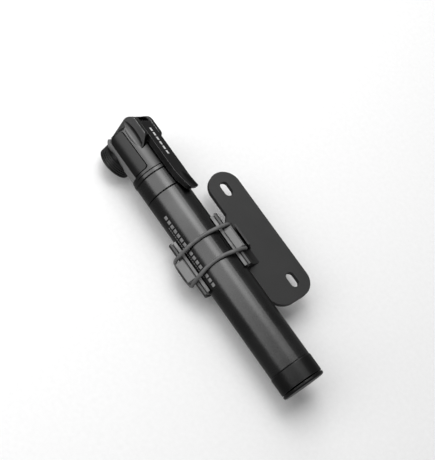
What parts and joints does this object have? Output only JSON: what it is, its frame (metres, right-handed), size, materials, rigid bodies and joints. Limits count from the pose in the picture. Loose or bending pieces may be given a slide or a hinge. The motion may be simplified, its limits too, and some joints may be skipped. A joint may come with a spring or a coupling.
{
  "type": "bicycle mini pump",
  "caption": "Slim bicycle mini pump with a telescoping barrel and a thumb-lever valve head, strapped in a cradle bracket that bolts under a bottle cage.",
  "frame": {"origin": "centre of the bracket's two bottle-boss slots, on the back face of its plate", "axes": "+X along the barrel towards the handle's end (the head is at -X); +Y from the pump towards the slots' line; +Z away from the bicycle's tube; rest is the closed pump, lever folded, strapped in"},
  "size_m": [0.1758, 0.0636, 0.0367],
  "materials": {
    "sleeve_black": "satin black anodised",
    "cap_black": "satin black anodised, turned",
    "head_black": "fine matte black",
    "cover_black": "soft sheen black",
    "saddle_grey": "satin grey anodised",
    "lever_black": "gloss black",
    "bracket_plastic": "fine textured dark grey",
    "rubber_black": "matte",
    "strap_rubber": "matte",
    "gland_rubber": "matte",
    "steel": "plain",
    "barrel_alloy": "polished, clear anodised",
    "rod_alloy": "drawn",
    "acetal_white": "smooth",
    "acetal_black": "smooth",
    "seat_brass": "turned"
  },
  "bodies": {
    "bracket": {"bracket": "bracket_plastic", "cradle_liner": "rubber_black", "strap_loop": "strap_rubber"},
    "pump": {"head_body": "head_black", "side_cover_front": "cover_black", "side_cover_back": "cover_black", "port_saddle": "saddle_grey", "gland_cap": "cap_black", "valve_gland": "gland_rubber", "lever_pin": "steel", "inner_barrel": "barrel_alloy", "barrel_bush": "acetal_black", "barrel_collar": "sleeve_black", "collar_ring": "cap_black", "barrel_seal": "rubber_black", "valve_seat": "seat_brass", "check_valve": "gland_rubber", "check_spring": "steel"},
    "lever": {"lever": "lever_black"},
    "plunger": {"plunger": "acetal_white", "plunger_seal": "rubber_black"},
    "piston": {"piston": "acetal_white", "piston_seal": "rubber_black"},
    "handle": {"piston_rod": "rod_alloy", "rod_clip": "steel", "rod_screw": "steel", "outer_sleeve": "sleeve_black", "sleeve_guide_ring": "acetal_black", "handle_end_cap": "cap_black", "end_plug": "cap_black"}
  },
  "joints": [
    {"name": "pump_removal", "type": "slide", "parent": "bracket", "child": "pump", "axis": [-1, 0, 0], "range_m": [0, 0.11]},
    {"name": "handle_slide", "type": "slide", "parent": "pump", "child": "piston", "axis": [1, 0, 0], "range_m": [0, 0.095]},
    {"name": "handle_turn", "type": "hinge", "parent": "piston", "child": "handle", "pos_m": [0, -0.0335, 0.003], "axis": [1, 0, 0], "continuous": true},
    {"name": "lever_swing", "type": "hinge", "parent": "pump", "child": "lever", "pos_m": [-0.0828, -0.02943, 0.00882], "axis": [0, -0.8192, 0.5736], "range_deg": [0, 90]},
    {"name": "plunger_slide", "type": "slide", "parent": "pump", "child": "plunger", "axis": [0, -0.5736, -0.8192], "range_m": [0, 0.00202], "deforming": ["valve_gland"]}
  ],
  "couplings": [
    {"joint": "plunger_slide", "follows": "lever_swing", "m_per_rad": 0.0012732}
  ]
}
